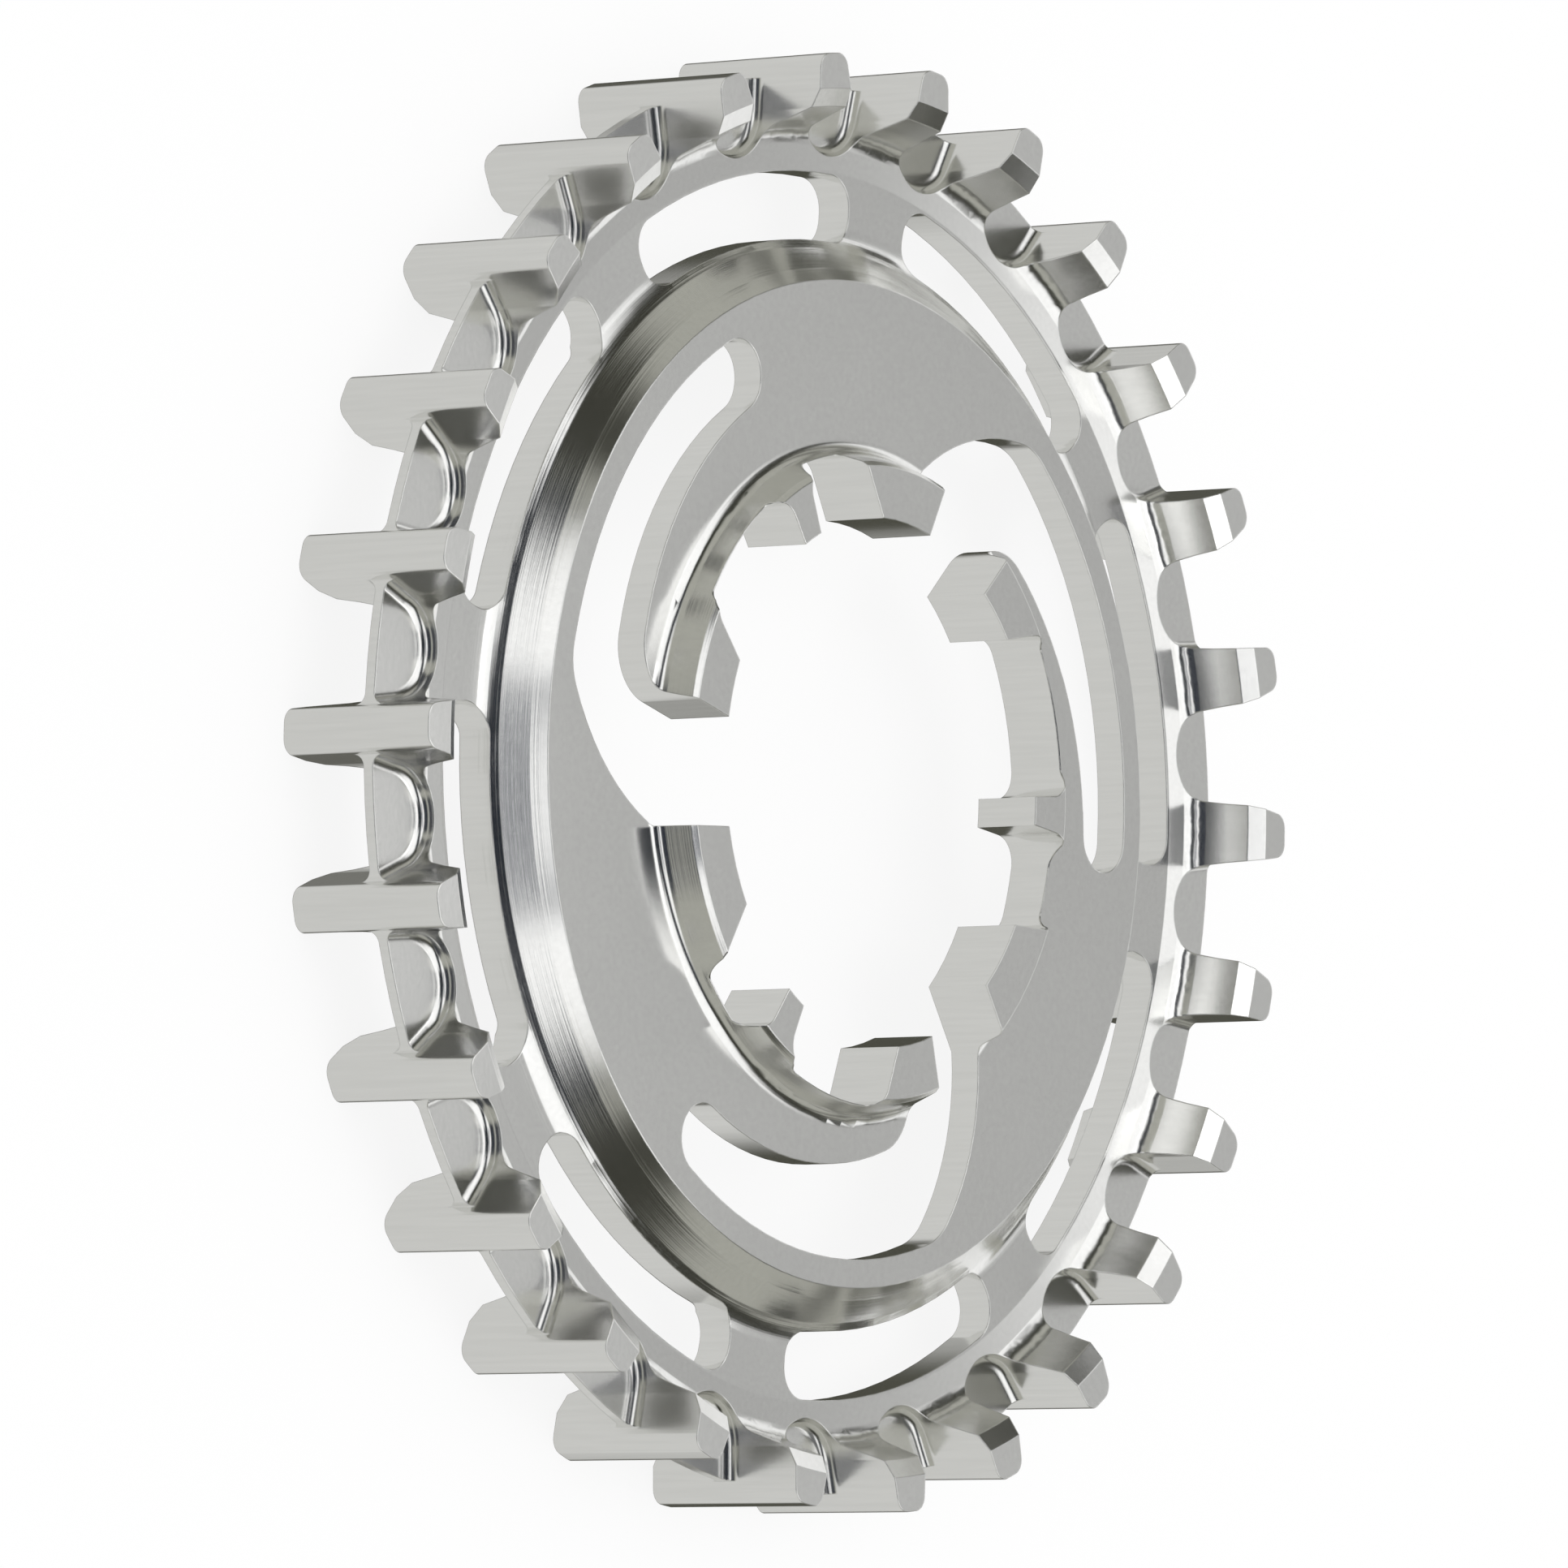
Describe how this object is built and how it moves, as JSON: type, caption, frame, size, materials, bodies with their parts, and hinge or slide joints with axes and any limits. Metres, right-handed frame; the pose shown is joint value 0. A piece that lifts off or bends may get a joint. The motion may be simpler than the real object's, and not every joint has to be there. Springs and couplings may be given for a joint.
{
  "type": "belt drive sprocket",
  "caption": "One-piece toothed sprocket for a bicycle belt drive, with a centre fin, a slotted web, swirl cut-outs and a lugged bore.",
  "frame": {"origin": "on the sprocket's axis, in the plane of the teeth's rear ends, which it rests on", "axes": "+Z along the axis, towards the front with the raised collar; X runs at 5.85 degrees from the middle of one tooth"},
  "size_m": [0.0888, 0.089, 0.0115],
  "materials": {
    "body": "polished"
  },
  "bodies": {
    "root": {"sprocket": "body"}
  },
  "joints": []
}
